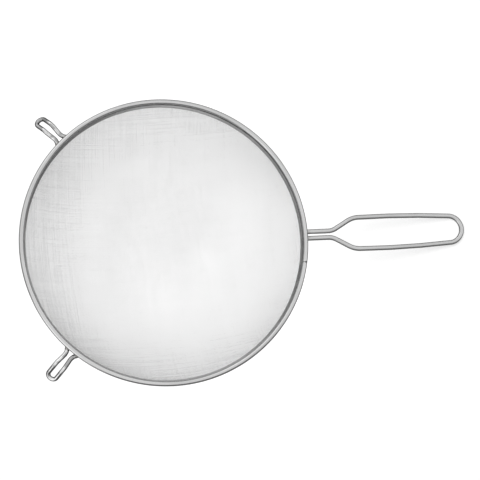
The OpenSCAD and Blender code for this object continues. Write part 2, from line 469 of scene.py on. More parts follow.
class Tree:
    """Short calls for adding nodes and links to a shader node tree."""

    def __init__(self, tree: bpy.types.NodeTree) -> None:
        """Keeps the tree."""
        self.tree = tree

    def add(self, kind: str, values: dict | None = None, **settings: object) -> bpy.types.Node:
        """Adds a node.

        Args:
            kind: Node type without its ShaderNode prefix, or the full name of a group node.
            values: Input values or source sockets, by input name or index.
            settings: Properties of the node.

        Returns:
            The node.
        """
        node = self.tree.nodes.new(kind if kind.startswith("Node") else "ShaderNode" + kind)
        for key, setting in settings.items():
            setattr(node, key, setting)
        for key, value in (values or {}).items():
            self.feed(node.inputs[key], value)
        return node

    def feed(self, socket: bpy.types.NodeSocket, value: object) -> None:
        """Links a socket to another, or sets its value.

        Args:
            socket: The input to feed.
            value: A source socket or a plain value.
        """
        if isinstance(value, bpy.types.NodeSocket):
            self.tree.links.new(value, socket)
        else:
            socket.default_value = value

    def use(self, group: bpy.types.NodeTree, values: dict) -> bpy.types.NodeOutputs:
        """Places a node group.

        Args:
            group: The group.
            values: Values or source sockets, by input name.

        Returns:
            The outputs of its node.
        """
        node = self.add("Group", node_tree=group)
        for label, value in values.items():
            self.feed(node.inputs[label], value)
        return node.outputs

    def math(self, operation: str, *values: object, clamp: bool = False) -> bpy.types.NodeSocket:
        """Output of a Math node on up to three values or sockets."""
        inputs = dict(enumerate(values))
        return self.add("Math", inputs, operation=operation, use_clamp=clamp).outputs[0]

    def ramp(self, value: object, span: Pair, start: float = 0.0, end: float = 1.0) -> bpy.types.NodeSocket:
        """Output of a smooth step from start to end while the value goes over the span.

        Args:
            value: What decides.
            span: Its value where the step begins and where it ends.
            start: Output before the step.
            end: Output after it.

        Returns:
            The Result socket of a Map Range node.
        """
        inputs = {"Value": value, "From Min": span[0], "From Max": span[1], "To Min": start, "To Max": end}
        return self.add("MapRange", inputs, interpolation_type="SMOOTHSTEP").outputs["Result"]

    def scaled(self, vector: object, factor: object) -> bpy.types.NodeSocket:
        """A vector or a colour times a factor."""
        return self.add("VectorMath", {0: vector, "Scale": factor}, operation="SCALE").outputs[0]

    def distance(self, a: object, b: object) -> bpy.types.NodeSocket:
        """Distance between two places."""
        return self.add("VectorMath", {0: a, 1: b}, operation="DISTANCE").outputs["Value"]

    def where(self) -> bpy.types.NodeSocket:
        """The place on the object, in its own frame."""
        return self.add("TexCoord").outputs["Object"]

    def along(self) -> bpy.types.NodeSocket:
        """The piece's pattern coordinate."""
        return self.add("Attribute", attribute_name=ALONG).outputs["Vector"]

    def parts(self, vector: object) -> bpy.types.NodeOutputs:
        """The X, Y and Z of a vector, by index."""
        return self.add("SeparateXYZ", {0: vector}).outputs

    def noise(self, vector: object, scale: float, detail: float = 3.0) -> bpy.types.NodeSocket:
        """Value of a Noise Texture on a vector."""
        return self.add("TexNoise", {"Vector": vector, "Scale": scale, "Detail": detail}).outputs[0]

    def mix(self, share: object, a: object, b: object) -> bpy.types.NodeSocket:
        """A colour between two others.

        Args:
            share: 0 for the first colour, 1 for the second.
            a: First colour.
            b: Second colour.

        Returns:
            The colour output of a Mix node.
        """
        node = self.add("Mix", data_type="RGBA")
        self.feed(node.inputs[0], share)
        self.feed(node.inputs[6], a)
        self.feed(node.inputs[7], b)
        return node.outputs[2]


def new_material(name: str, metallic: float) -> tuple[bpy.types.Material, Tree, bpy.types.NodeInputs]:
    """Starts a material.

    Args:
        name: Its name.
        metallic: Metallic value of its shader.

    Returns:
        The material, its Tree and the inputs of its Principled BSDF.
    """
    made = bpy.data.materials.new(name)
    made.use_nodes = True
    surface = made.node_tree.nodes["Principled BSDF"].inputs
    surface["Metallic"].default_value = metallic
    return made, Tree(made.node_tree), surface


@dataclass
class Effects:
    """Node groups that several steels share, each built once.

    A scale is in patches a unit of the coordinate that its noise takes, and a span is where a
    smooth step begins and where it ends.
    """

    shade_scale: float = 0.31
    shade_span: Pair = (0.3, 0.7)
    smudge_scale: float = 0.02
    smudge_span: Pair = (0.35, 0.7)
    scratch_scale: float = 0.22
    scratch_span: Pair = (0.0, 0.012)
    heat_scale: float = 600.0
    heat_break: float = 0.5
    heat_span: Pair = (0.45, 1.15)
    grain: bpy.types.NodeTree = field(init=False)
    handling: bpy.types.NodeTree = field(init=False)
    heat: bpy.types.NodeTree = field(init=False)

    def __post_init__(self) -> None:
        """Builds the groups."""
        self.grain = self._grain()
        self.handling = self._handling()
        self.heat = self._heat()

    @staticmethod
    def _new(name: str, inputs: dict[str, str], outputs: list[str]) -> tuple[bpy.types.NodeTree, Tree, dict]:
        """Starts a group.

        Args:
            name: Name of the group.
            inputs: Input names and their kinds, Vector or Float.
            outputs: Names of its float outputs.

        Returns:
            The group, its Tree and its input sockets by name.
        """
        group = bpy.data.node_groups.new(name, "ShaderNodeTree")
        for label, kind in inputs.items():
            group.interface.new_socket(label, in_out="INPUT", socket_type="NodeSocket" + kind)
        for label in outputs:
            group.interface.new_socket(label, in_out="OUTPUT", socket_type="NodeSocketFloat")
        tree = Tree(group)
        given = tree.add("NodeGroupInput").outputs
        return group, tree, {label: given[label] for label in inputs}

    def _grain(self) -> bpy.types.NodeTree:
        """Lines left by drawing or rolling: noise stretched along the piece's own coordinate.

        Returns:
            The group, which gives the lines' Height and a broader Shade.
        """
        inputs = {"Coordinate": "Vector", "Length": "Float", "Width": "Float"}
        group, tree, given = self._new("drawing_lines", inputs, ["Height", "Shade"])
        part = tree.parts(given["Coordinate"])
        lengthwise = tree.math("DIVIDE", part[0], given["Length"])
        sideways = tree.math("DIVIDE", part[1], given["Width"])
        upwards = tree.math("DIVIDE", part[2], given["Width"])
        stretched = tree.add("CombineXYZ", {0: lengthwise, 1: sideways, 2: upwards}).outputs[0]
        lines = tree.noise(stretched, 1.0, 4.0)
        broad = tree.noise(stretched, self.shade_scale, 2.0)
        tree.add("NodeGroupOutput", {"Height": lines, "Shade": tree.ramp(broad, self.shade_span)})
        return group

    def _handling(self) -> bpy.types.NodeTree:
        """Marks of use on Object coordinates.

        Returns:
            The group, which gives soft Smudge patches and thin Scratch lines, where a second
            noise passes through its middle value.
        """
        inputs = {"Coordinate": "Vector", "Size": "Float"}
        group, tree, given = self._new("marks_of_use", inputs, ["Smudge", "Scratch"])
        place = tree.scaled(given["Coordinate"], given["Size"])
        smudge = tree.ramp(tree.noise(place, self.smudge_scale, 4.0), self.smudge_span)
        veins = tree.math("SUBTRACT", tree.noise(place, self.scratch_scale, 1.0), 0.5)
        scratch = tree.ramp(tree.math("ABSOLUTE", veins), self.scratch_span, 1.0, 0.0)
        tree.add("NodeGroupOutput", {"Smudge": smudge, "Scratch": scratch})
        return group

    def _heat(self) -> bpy.types.NodeTree:
        """Heat tint round a weld.

        Returns:
            The group, whose Mask falls off with the distance from the weld as a share of its
            Reach, broken up by noise.
        """
        inputs = {"Coordinate": "Vector", "Weld": "Vector", "Reach": "Float"}
        group, tree, given = self._new("heat_tint", inputs, ["Mask"])
        share = tree.math("DIVIDE", tree.distance(given["Coordinate"], given["Weld"]), given["Reach"])
        uneven = tree.math("MULTIPLY", tree.noise(given["Coordinate"], self.heat_scale), self.heat_break)
        mask = tree.ramp(tree.math("ADD", share, uneven), self.heat_span, 1.0, 0.0)
        tree.add("NodeGroupOutput", {"Mask": mask})
        return group


@dataclass(frozen=True)
class SteelFinish:
    """How one of the sieve's steels looks. Lengths are in millimetres.

    Drawing lines run along the piece: shade is the most that they darken it, and line_rough how
    far they vary its roughness. A smudge darkens it by smudge_shade and roughens it by smudge.
    The heat tint runs as far as tint_reach from each weld, whose place is in metres.
    """

    name: str
    color: Color
    roughness: float
    line_length: float = 18.0
    line_width: float = 0.16
    line_depth: float = 0.0025
    line_rough: float = 0.12
    scratch_depth: float = 0.6
    shade: float = 0.12
    smudge_shade: float = 0.06
    smudge: float = 0.1
    tint: Color = (0.2, 0.19, 0.18)
    tint_reach: float = 9.0
    welds: tuple[Place, ...] = ()

    def material(self, effects: Effects) -> bpy.types.Material:
        """Builds the material.

        Args:
            effects: The shared node groups.

        Returns:
            The material, on Object coordinates and the piece's own pattern coordinate.
        """
        made, tree, surface = new_material(self.name, 1.0)
        where, own = tree.where(), tree.along()
        inputs = {"Coordinate": own, "Length": self.line_length * MM, "Width": self.line_width * MM}
        lines = tree.use(effects.grain, inputs)
        marks = tree.use(effects.handling, {"Coordinate": where, "Size": 1 / MM})
        shade = tree.ramp(lines["Shade"], (0.0, 1.0), 1 - self.shade, 1.0)
        smudged = tree.ramp(marks["Smudge"], (0.0, 1.0), 1.0, 1 - self.smudge_shade)
        tone = tree.scaled(self.color, tree.math("MULTIPLY", shade, smudged))
        for weld in self.welds:
            inputs = {"Coordinate": where, "Weld": weld, "Reach": self.tint_reach * MM}
            mask = tree.use(effects.heat, inputs)["Mask"]
            tone = tree.mix(self.tinted(tree, own, mask), tone, (*self.tint, 1.0))
        tree.feed(surface["Base Color"], self.painted_light_and_dirt(tree, own, tone))
        dulled = tree.math("MULTIPLY_ADD", marks["Smudge"], self.smudge, self.roughness)
        rough = tree.math("MULTIPLY_ADD", lines["Height"], self.line_rough, dulled)
        tree.feed(surface["Roughness"], tree.math("SUBTRACT", rough, self.line_rough / 2))
        scratches = tree.math("MULTIPLY", marks["Scratch"], self.scratch_depth)
        height = tree.math("SUBTRACT", lines["Height"], scratches)
        bump = tree.add("Bump", {"Height": height, "Distance": self.line_depth * MM, "Strength": 1.0})
        tree.feed(surface["Normal"], bump.outputs[0])
        return made

    def tinted(self, tree: Tree, own: object, mask: object) -> object:
        """Where the heat tint shows; here wherever the mask does."""
        return mask

    def painted_light_and_dirt(self, tree: Tree, own: object, tone: object) -> object:
        """The tone with the painted light and grime that this piece gets; here none."""
        return tone


@dataclass(frozen=True)
class PolishedFinish(SteelFinish):
    """Polished wire with painted reflections: its colour is painted darker at the sides, as if they
    mirrored a dark room, and painted brighter and duller in patches.

    painted_side_tone is the share of the tone that the painted shade leaves at the sides, mottle the share
    that a painted dull patch takes away, and painted_mottle_gain what a painted bright patch multiplies it
    by.
    """

    painted_side_tone: float = 0.3
    painted_side_span: Pair = (0.25, 0.6)
    painted_mottle: float = 0.4
    painted_mottle_gain: float = 1.15
    painted_mottle_size: float = 6.0
    painted_mottle_span: Pair = (0.38, 0.6)

    def painted_light_and_dirt(self, tree: Tree, own: object, tone: object) -> object:
        """The tone with painted reflections: painted shade at the wire's sides, and painted highlights
        and shade in patches along it.

        Args:
            tree: The material's nodes.
            own: The piece's own coordinate.
            tone: The clean tone.

        Returns:
            The tone times the painted shade of the sides and the painted light of the patches.
        """
        # Painted reflection: the colour darkens where the wire turns away from the view.
        facing = tree.add("LayerWeight", {"Blend": 0.5}).outputs["Facing"]
        sides = tree.ramp(facing, self.painted_side_span, 1.0, self.painted_side_tone)
        # Painted highlights and shade: brighter and duller patches along the wire.
        patches = tree.noise(tree.where(), 1 / (self.painted_mottle_size * MM), 1.0)
        painted_patch_light = tree.ramp(patches, self.painted_mottle_span, 1 - self.painted_mottle, self.painted_mottle_gain)
        return tree.scaled(tone, tree.math("MULTIPLY", sides, painted_patch_light))


@dataclass(frozen=True)
class StripFinish(SteelFinish):
    """Rolled strip: painted shade, a dark line in the crease under the bead, and grime at the butt seam.

    The crease is a place in the section, as distance from the ring's middle line and level; the
    seam's places are lengths round the ring. uneven_scale is in patches a metre, and dirt is the
    share of the tone left under full painted shade and under full seam grime. The heat tint keeps
    to the outer leg, which lies further out than outer_from.
    """

    crease: Pair = (-1.75, -2.7)
    crease_w: float = 1.25
    crease_span: Pair = (0.35, 1.0)
    uneven_scale: float = 260.0
    seams: tuple[float, ...] = ()
    seam_w: float = 0.55
    outer_from: float = -1.6
    outer_blend: float = 0.3
    # Share of the tone left under full painted shade in the crease and under full grime at the seam.
    painted_shade_and_dirt: float = 0.1

    def tinted(self, tree: Tree, own: object, mask: object) -> object:
        """The heat tint's mask on the outer leg alone.

        Args:
            tree: The material's nodes.
            own: The piece's own coordinate.
            mask: The heat tint's mask.

        Returns:
            The mask, zero inside the rim.
        """
        span = ((self.outer_from - self.outer_blend) * MM, self.outer_from * MM)
        return tree.math("MULTIPLY", mask, tree.ramp(tree.parts(own)[1], span))

    def painted_light_and_dirt(self, tree: Tree, own: object, tone: object) -> object:
        """The tone darkened by painted shade in the crease and by grime at the seam.

        The crease's painted shade falls off with the distance from its place in the section, over a
        width that varies with noise; the seam's grime falls off with the distance along the ring.

        Args:
            tree: The material's nodes.
            own: The piece's own coordinate.
            tone: The clean tone.

        Returns:
            The tone, brought down to the share that full painted shade and grime leave.
        """
        part = tree.parts(own)
        section = tree.add("CombineXYZ", {1: part[1], 2: part[2]}).outputs[0]
        # Painted shade: a dark line in the crease under the bead, where shade falls, fading with the
        # distance from it.
        away = tree.distance(section, (0.0, self.crease[0] * MM, self.crease[1] * MM))
        uneven = tree.math("ADD", tree.noise(own, self.uneven_scale), 0.5)
        share = tree.math("DIVIDE", away, tree.math("MULTIPLY", uneven, self.crease_w * MM))
        painted_shade_and_dirt = tree.ramp(share, self.crease_span, 1.0, 0.0)
        # Real grime along the butt seam.
        for seam in self.seams:
            near = tree.math("ABSOLUTE", tree.math("SUBTRACT", part[0], seam * MM))
            line = tree.ramp(near, (0.0, self.seam_w * MM), 1.0, 0.0)
            painted_shade_and_dirt = tree.math("MAXIMUM", painted_shade_and_dirt, line)
        return tree.scaled(tone, tree.math("MULTIPLY_ADD", painted_shade_and_dirt, self.painted_shade_and_dirt - 1.0, 1.0))


@dataclass(frozen=True)
class ClothFinish:
    """How the fine wire of the cloth looks.

    The tone drifts from bright to dull over the cloth, with fine speckle, and streaks run along
    the wires: streak is the most that they darken it, streak_length their length in millimetres,
    and streak_rate how fast they change from one wire to the next. Scales are in patches a metre.
    """

    name: str = "woven_fine_wire"
    color: Color = (0.84, 0.84, 0.84)
    dull_color: Color = (0.74, 0.74, 0.74)
    drift_scale: float = 14.0
    drift_span: Pair = (0.35, 0.7)
    speckle_scale: float = 900.0
    speckle_share: float = 0.4
    least_roughness: float = 0.35
    speckle_rough: float = 0.15
    streak: float = 0.35
    streak_length: float = 60.0
    streak_rate: float = 1.7
    streak_span: Pair = (0.3, 0.7)

    def material(self) -> bpy.types.Material:
        """Builds bright steel whose tone drifts over the cloth and from wire to wire.

        Returns:
            The material, on Object coordinates and the wires' own coordinate.
        """
        made, tree, surface = new_material(self.name, 1.0)
        where, own = tree.where(), tree.along()
        drift = tree.ramp(tree.noise(where, self.drift_scale, 2.0), self.drift_span)
        speckle = tree.noise(where, self.speckle_scale, 1.0)
        dull = tree.math("ADD", drift, tree.math("MULTIPLY", speckle, self.speckle_share), clamp=True)
        tone = tree.mix(dull, (*self.color, 1.0), (*self.dull_color, 1.0))
        rates = (1 / (self.streak_length * MM), self.streak_rate / MM, 0.0)
        wires = tree.add("VectorMath", {0: own, 1: rates}, operation="MULTIPLY").outputs[0]
        streaks = tree.ramp(tree.noise(wires, 1.0, 0.0), self.streak_span, 1 - self.streak, 1.0)
        tree.feed(surface["Base Color"], tree.scaled(tone, streaks))
        rough = tree.math("MULTIPLY_ADD", speckle, self.speckle_rough, self.least_roughness)
        tree.feed(surface["Roughness"], rough)
        return made


@dataclass
class Rim:
    """The rolled strip and the core wire inside it.

    The counts say how finely each face is drawn. bend_r and slot_bend_r are the bends between the
    bead and a leg, on its outside and in the slot. wobble and edge_wobble are how far the strip's
    radius and its legs' lower edges stray, each by its own ripple.
    """

    sizes: RimSizes
    pose: RestingPose
    steps: int = 696
    roll_points: int = 18
    bend_points: int = 7
    wall_points: int = 10
    core_sides: int = 14
    bend_r: float = 0.5
    slot_bend_r: float = 0.08
    wobble: float = 0.05
    wobble_at_bead: float = 0.35
    waves: Ripple = Ripple(46, 9, 3)
    edge_wobble: float = 0.22
    edge_waves: Ripple = Ripple(30, 7, 8)

    def _arc(self, centre: np.ndarray, radius: float, start: float, end: float, count: int) -> np.ndarray:
        """Points of an arc about a centre, from one angle in radians to another."""
        a = np.linspace(start, end, count)[:, None]
        return centre + radius * np.concatenate([np.cos(a), np.sin(a)], 1)

    def _meet(self, far: np.ndarray, far_r: float, near: np.ndarray, near_r: float) -> np.ndarray:
        """Lower crossing of a circle about the ball's centre with one about the bead's.

        The crossing lies along the line of centres by the usual chord formula, and off it by the
        root of what is left of the radius.

        Args:
            far: Centre of the ball's circle.
            far_r: Its radius.
            near: Centre of the bead's circle.
            near_r: Its radius.

        Returns:
            The crossing that lies below the bead.
        """
        line = near - far
        span = np.linalg.norm(line)
        ahead = line / span
        step = (span**2 + far_r**2 - near_r**2) / (2 * span)
        rise = math.sqrt(far_r**2 - step**2)
        return far + step * ahead + rise * np.array([ahead[1], -ahead[0]])

    def _leg(self, wall_r: float, roll_r: float, bend_r: float, outer: bool) -> np.ndarray:
        """One face of the strip, from the top of the bead down a leg to its lower edge.

        The face follows the bead's circle, a small bend of the other sense, and the ball.

        Args:
            wall_r: Radius of the leg's face about the ball's centre.
            roll_r: Radius of the face round the bead.
            bend_r: Radius of the bend between them, positive toward the outside of the ball.
            outer: Whether the face goes down the outer side of the bead.

        Returns:
            Points from the bead's top to the lower edge, as distance from the axis and level.
        """
        ball = np.array([0.0, self.sizes.bowl_level])
        bead = np.array([self.sizes.ring_r, 0.0])
        bend = self._meet(ball, wall_r + bend_r, bead, roll_r + abs(bend_r))
        roll_to = angle_of(bend - bead) + (0.0 if outer else 2 * math.pi)
        roll = self._arc(bead, roll_r, math.pi / 2, roll_to, self.roll_points)
        touch_bead = angle_of(bead - bend)
        touch_wall = angle_of(ball - bend if bend_r > 0 else bend - ball)
        swing = (touch_wall - touch_bead + math.pi) % (2 * math.pi) - math.pi
        corner = self._arc(bend, abs(bend_r), touch_bead, touch_bead + swing, self.bend_points)
        low = -self.sizes.clamp_depth + self.sizes.strip_t / 2
        wall_to = math.asin((low - self.sizes.bowl_level) / wall_r)
        wall = self._arc(ball, wall_r, angle_of(corner[-1] - ball), wall_to, self.wall_points)
        return np.concatenate([roll, corner[1:], wall[1:]])

    def _edge(self, start: np.ndarray, end: np.ndarray) -> np.ndarray:
        """Half circle below the line from one face's lower end to the other's.

        Args:
            start: Lower end of the face that comes first.
            end: Lower end of the next face.

        Returns:
            The points between those two ends.
        """
        centre, radius = (start + end) / 2, np.linalg.norm(end - start) / 2
        first = angle_of(start - centre)
        return self._arc(centre, radius, first, first - math.pi, self.bend_points)[1:-1]

    def _section(self) -> np.ndarray:
        """Closed outline of the strip: the outer faces, and the same faces one strip further in.

        It runs down the outer leg, round its lower edge, up the slot that holds the cloth and
        round the core wire, down the slot's other side, round the inner leg's lower edge and up
        its inside.

        Returns:
            Points as distance from the axis and level.
        """
        s = self.sizes
        slot_out, slot_in = s.bowl_r + s.sheet_t / 2, s.bowl_r - s.sheet_t / 2
        inner_roll = s.bead_r - s.strip_t
        outside = self._leg(slot_out + s.strip_t, s.bead_r, self.bend_r, True)
        outer_slot = self._leg(slot_out, inner_roll, self.slot_bend_r, True)
        inner_slot = self._leg(slot_in, inner_roll, -self.slot_bend_r, False)
        inside = self._leg(slot_in - s.strip_t, s.bead_r, -self.bend_r, False)
        outer_edge = self._edge(outside[-1], outer_slot[-1])
        inner_edge = self._edge(inner_slot[-1], inside[-1])
        faces = [outside, outer_edge, outer_slot[:0:-1], inner_slot, inner_edge, inside[:0:-1]]
        return np.concatenate(faces)

    def strip(self) -> Surface:
        """The strip swept round the axis from one side of the seam to the other.

        Each point of the section is turned about the axis. Its radius also takes a small ripple
        that grows toward the legs' lower edges, and its level one that grows with the cube of the
        depth, so that the edges alone are uneven.

        Returns:
            The closed strip with both its ends capped.
        """
        s = self.sizes
        section = self._section()
        gap = s.seam_gap / 2 / s.ring_r
        turn = math.radians(s.seam_angle) + np.linspace(gap, 2 * math.pi - gap, self.steps)
        a = np.broadcast_to(turn[:, None], (self.steps, len(section)))
        depth = np.clip(-section[:, 1] / s.clamp_depth, 0, 1)
        growth = self.wobble_at_bead + (1 - self.wobble_at_bead) * depth
        wave = self.wobble * self.waves.at(turn)[:, None] * growth
        edge = self.edge_wobble * self.edge_waves.at(turn)[:, None] * depth**3
        radius = section[:, 0] + wave
        level = section[:, 1] + np.abs(edge)
        points = np.stack([radius * np.cos(a), radius * np.sin(a), np.broadcast_to(level, a.shape)], -1)
        around = s.ring_r * a
        along = np.stack([around, np.broadcast_to(section[:, 0] - s.ring_r, a.shape), level], -1)
        ring = np.arange(len(section))
        caps = np.stack([ring[::-1], ring + (self.steps - 1) * len(section)])
        return Surface(points, along, [grid_faces(self.steps, len(section)), caps])

    def core(self) -> Surface:
        """The core wire: a tube round a circle.

        Returns:
            The tube, closed on itself.
        """
        a = np.linspace(0, 2 * math.pi, self.steps // 2, endpoint=False)
        r = self.sizes.ring_r
        path = np.stack([r * np.cos(a), r * np.sin(a), np.zeros_like(a)], 1)
        return tube(path, self.sizes.core_wire_d / 2, self.core_sides, closed=True)

    def build(self, strip_steel: bpy.types.Material, core_steel: bpy.types.Material) -> None:
        """Makes the strip and the core wire and dresses them."""
        dress(self.strip().build("rolled_rim", self.pose), strip_steel, "rim_steel", "rim_band")
        dress(self.core().build("core_wire", self.pose), core_steel, "core_wire", "rim_core_wire")


def dress(piece: bpy.types.Object, steel: bpy.types.Material, slot: str, *nodes: str) -> None:
    """Gives a piece its material, and hides the CAD nodes that it stands for.

    Args:
        piece: The piece.
        steel: Its material.
        slot: Its slot in the record; not used.
        nodes: Names of the CAD nodes that it replaces.
    """
    piece.data.materials.append(steel)
    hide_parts(*nodes)


@dataclass
class WireCloth:
    """The pressed bowl of plain-woven wire.

    inward is how far the cloth's middle lies inside the ball, which keeps its outer wires within
    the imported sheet. A wire's section has few sides, so swell moves its corners out a little.
    stray is how far the wires lie beside their even places: a part of each wire's own, with a
    spread and a limit, and a slow wave, which takes a span of lengths a radian. set_offset keeps
    the numbers of the weft wires apart from those of the warp. Lengths are in millimetres.
    """

    rim: RimSizes
    pose: RestingPose
    pitch: float = 1.0
    wire_d: float = 0.22
    weave_angle: float = 2.5
    pieces: int = 4
    inward: float = 0.135
    section_sides: int = 3
    swell: float = 1.12
    stray: float = 0.075
    stray_spread: float = 0.8
    stray_limit: float = 1.6
    stray_wave: float = 0.12
    wave_radian: Pair = (5.0, 18.0)
    seed: int = 31
    set_offset: int = 1000

    def _quarter(self, count: int) -> np.ndarray:
        """A quarter of the net of crossings, as unit vectors from the ball's centre.

        Woven wire keeps its pitch when it is pressed and only shears, so every crossing is one
        pitch from its neighbours. The two middle wires are great circles through the lowest
        point; each further crossing is the one before both its neighbours, mirrored in the plane
        through those neighbours and the ball's centre. A loop runs over diagonals of the net.

        Args:
            count: Crossings from the lowest point to the end of a middle wire.

        Returns:
            Array of count + 1 by count + 1 unit vectors.
        """
        net = np.zeros((count + 1, count + 1, 3))
        a = np.arange(count + 1) * self.pitch / self.rim.bowl_r
        net[:, 0] = np.stack([np.sin(a), np.zeros_like(a), -np.cos(a)], 1)
        net[0, :] = np.stack([np.zeros_like(a), np.sin(a), -np.cos(a)], 1)
        for diagonal in range(2, 2 * count + 1):
            i = np.arange(max(1, diagonal - count), min(count, diagonal - 1) + 1)
            j = diagonal - i
            before = net[i - 1, j - 1]
            plane = unit(np.cross(net[i - 1, j], net[i, j - 1]))
            net[i, j] = before - 2 * np.sum(before * plane, 1, keepdims=True) * plane
        return net

    def _net(self) -> tuple[np.ndarray, np.ndarray]:
        """The whole net: its quarter mirrored twice and turned by the weave's angle.

        Returns:
            Unit vectors of the crossings, and which of them are on the cloth, below its cut edge.
        """
        count = int(math.pi / 2 * self.rim.bowl_r / self.pitch)
        quarter = self._quarter(count)
        half = np.concatenate([quarter[:0:-1] * [-1, 1, 1], quarter])
        net = np.concatenate([half[:, :0:-1] * [1, -1, 1], half], 1)
        edge = (self.rim.cloth_top - self.rim.bowl_level) / self.rim.bowl_r
        turn = turn_about(UP, math.radians(self.weave_angle))
        return net @ turn.T, net[..., 2] <= edge

    def _strays(self, count: int, threads: Threads) -> np.ndarray:
        """How far the wires lie beside their even places.

        Each wire's own part is a random number of the given spread, kept within the limit. The
        wave is the sine of the length along the wire, divided by its length a radian, plus a
        random phase.

        Args:
            count: Number of wires and of crossings along each.
            threads: Which set of wires.

        Returns:
            Sideways distances in millimetres, crossings by wires.
        """
        random = np.random.default_rng(self.seed + threads.value)
        length = np.arange(count)[:, None] * self.pitch
        turn = length / random.uniform(*self.wave_radian, count)
        wave = np.sin(turn + random.uniform(0, 2 * math.pi, count))
        own = np.clip(random.normal(0, self.stray_spread, count), -self.stray_limit, self.stray_limit)
        return self.stray * (own + self.stray_wave * wave)

    def _wires(
        self, net: np.ndarray, kept: np.ndarray, over: np.ndarray, aside: np.ndarray, first: int
    ) -> Surface:
        """Tubes along the first axis of the net, one ring of a few points at each crossing.

        A ring's middle is the crossing moved half a wire outwards or inwards, by turns, and a
        little sideways; its points lie about one wire radius from it, square to the wire. The
        pattern coordinate holds the length along the wire and the wire's number.

        Args:
            net: Unit vectors of the crossings.
            kept: Which crossings are on the cloth.
            over: 1 where the wire passes outside, -1 where it passes inside.
            aside: How far each crossing lies beside its even place.
            first: Number of the first wire, which shifts the pattern coordinate.

        Returns:
            The wires, each closed at both its ends.
        """
        r, sides = self.wire_d / 2, self.section_sides
        across = np.cross(unit(np.gradient(net, axis=0)), net)
        centre = net * (self.rim.bowl_r - self.inward + over[..., None] * r) + across * aside[..., None]
        centre = centre + [0, 0, self.rim.bowl_level]
        turn = np.arange(sides) * 2 * math.pi / sides
        spoke = np.cos(turn)[:, None] * net[:, :, None] + np.sin(turn)[:, None] * across[:, :, None]
        rings = centre[:, :, None] + r * self.swell * spoke
        number = np.cumsum(kept.ravel()).reshape(kept.shape) - 1
        step = np.arange(net.shape[0])[:, None] * self.pitch
        wire = (first + np.arange(net.shape[1]))[None, :] * 1.0
        along = np.stack([*np.broadcast_arrays(step, wire, 0.0 * wire)], -1)[:, :, None]
        along = np.broadcast_to(along, rings.shape)
        joined = kept[:-1] & kept[1:]
        here, there = number[:-1][joined][:, None] * sides, number[1:][joined][:, None] * sides
        k, after = np.arange(sides)[None, :], (np.arange(sides)[None, :] + 1) % sides
        walls = np.stack([here + k, here + after, there + after, there + k], -1).reshape(-1, 4)
        padded = np.pad(kept, ((1, 1), (0, 0)))
        starts = number[kept & ~padded[:-2]][:, None] * sides + np.arange(sides)[::-1]
        ends = number[kept & ~padded[2:]][:, None] * sides + np.arange(sides)
        return Surface(rings[kept], along[kept], [walls, starts, ends])

    def build(self, steel: bpy.types.Material) -> None:
        """Makes both sets of wires, each in several pieces of about equal size.

        Args:
            steel: The cloth's material.
        """
        net, kept = self._net()
        parity = np.add.outer(np.arange(len(net)), np.arange(len(net))) % 2 * 2 - 1
        for threads in Threads:
            warp = threads is Threads.WARP
            turned = net if warp else net.transpose(1, 0, 2)
            mask = kept if warp else kept.T
            over = parity if warp else -parity
            share = np.cumsum(mask.sum(0)) / mask.sum()
            cuts = np.searchsorted(share, np.arange(self.pieces + 1) / self.pieces)
            cuts[-1] = len(net)
            aside = self._strays(len(net), threads)
            for part, (low, high) in enumerate(zip(cuts[:-1], cuts[1:]), start=1):
                own = (turned[:, low:high], mask[:, low:high], over[:, low:high], aside[:, low:high])
                surface = self._wires(*own, int(low) + self.set_offset * threads.value)
                name = f"{threads.name.lower()}_wires_{part}"
                dress(surface.build(name, self.pose), steel, "wire_cloth", "wire_cloth_bowl")


